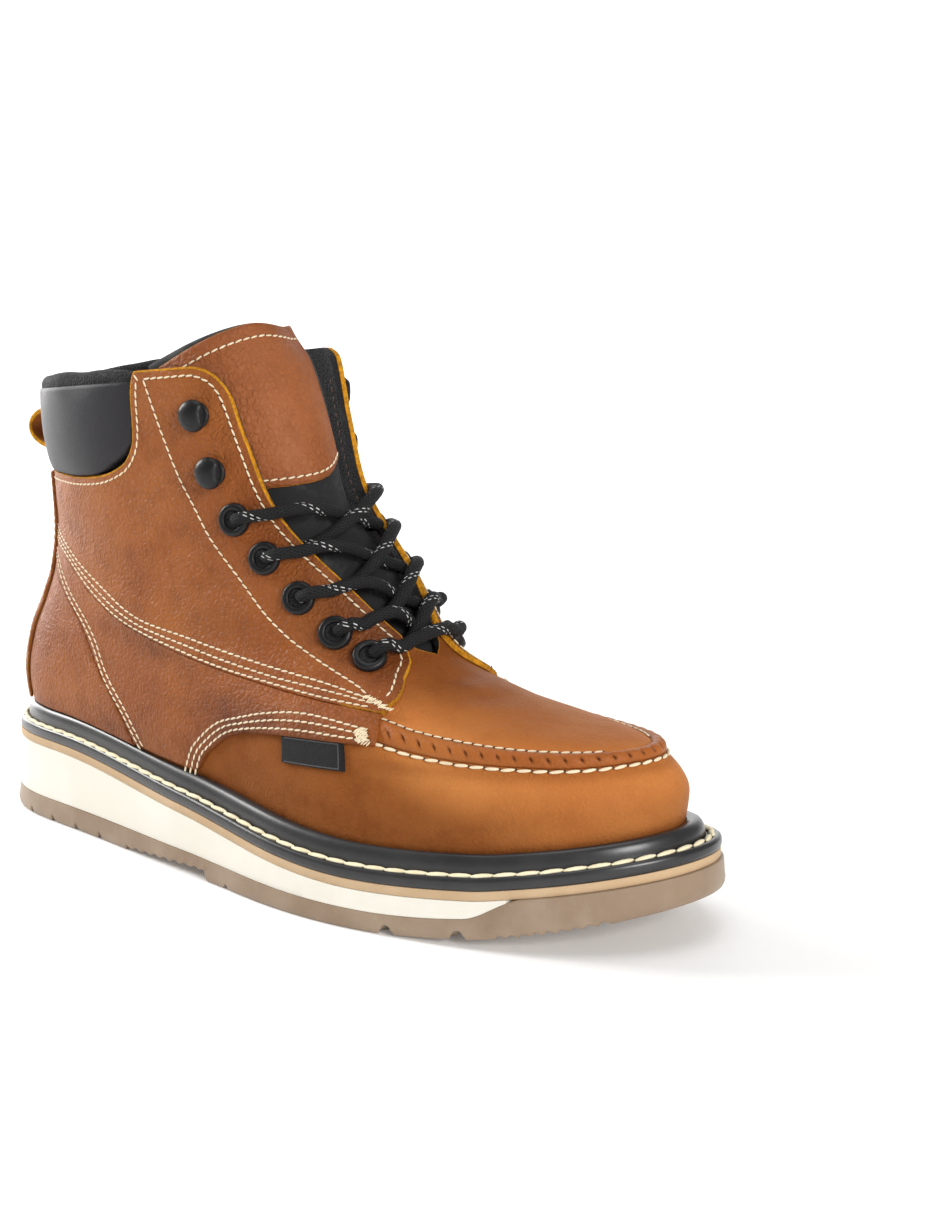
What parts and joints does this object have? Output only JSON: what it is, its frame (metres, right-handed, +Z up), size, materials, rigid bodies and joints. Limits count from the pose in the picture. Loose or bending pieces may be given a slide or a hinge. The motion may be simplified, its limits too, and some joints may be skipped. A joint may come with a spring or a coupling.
{
  "type": "work boot",
  "caption": "Right ankle-high lace-up work boot in tan leather with a moccasin-seam toe, padded dark collar, black storm welt and a white wedge sole on a gum tread.",
  "frame": {"origin": "on the floor under the middle of the sole's length and width", "axes": "+X towards the toe, +Y to the medial (inner) side of this right boot, +Z up"},
  "size_m": [0.308, 0.1087, 0.193],
  "materials": {
    "outsole": "matt gum rubber with a slightly see-through look at its edges",
    "midsole": "matt cream-white foamed wedge",
    "strip": "smooth pale tan edge strip",
    "welt": "satin black with a glossy rounded bead",
    "insole": "dark soft footbed",
    "vamp_leather": "smooth oiled cognac leather, darker where it is burnished",
    "panel_leather": "fine pebbled cognac leather with orange raw edges",
    "counter_leather": "fine pebbled cognac leather",
    "seam_leather": "puckered cognac leather ridge",
    "collar": "smooth charcoal padded synthetic",
    "tongue": "dusty black nubuck",
    "patch_leather": "pebbled cognac leather with an orange raw edge",
    "loop_leather": "orange-tan leather strip",
    "tag": "bare black woven tab",
    "fittings": "black enamel, half gloss",
    "lace": "round black braid with rows of pale flecks"
  },
  "bodies": {
    "root": {"outsole": "outsole", "midsole_wedge": "midsole", "slip_layer": "strip", "welt": "welt", "insole": "insole", "upper": "vamp_leather", "shaft_lateral": "panel_leather", "shaft_medial": "panel_leather", "quarter_lateral": "panel_leather", "quarter_medial": "panel_leather", "backstay": "panel_leather", "counter": "counter_leather", "moc_ridge": "seam_leather", "collar_pad": "collar", "tongue": "tongue", "tongue_patch": "patch_leather", "pull_loop": "loop_leather", "side_tag": "tag", "eyelet_lateral_1": "fittings", "eyelet_lateral_2": "fittings", "eyelet_lateral_3": "fittings", "eyelet_lateral_4": "fittings", "eyelet_lateral_5": "fittings", "hook_lateral_1": "fittings", "hook_lateral_2": "fittings", "eyelet_medial_1": "fittings", "eyelet_medial_2": "fittings", "eyelet_medial_3": "fittings", "eyelet_medial_4": "fittings", "eyelet_medial_5": "fittings", "hook_medial_1": "fittings", "hook_medial_2": "fittings", "lace_bar": "lace", "lace_crossing_1": "lace", "lace_crossing_2": "lace", "lace_crossing_3": "lace", "lace_crossing_4": "lace"}
  },
  "joints": []
}
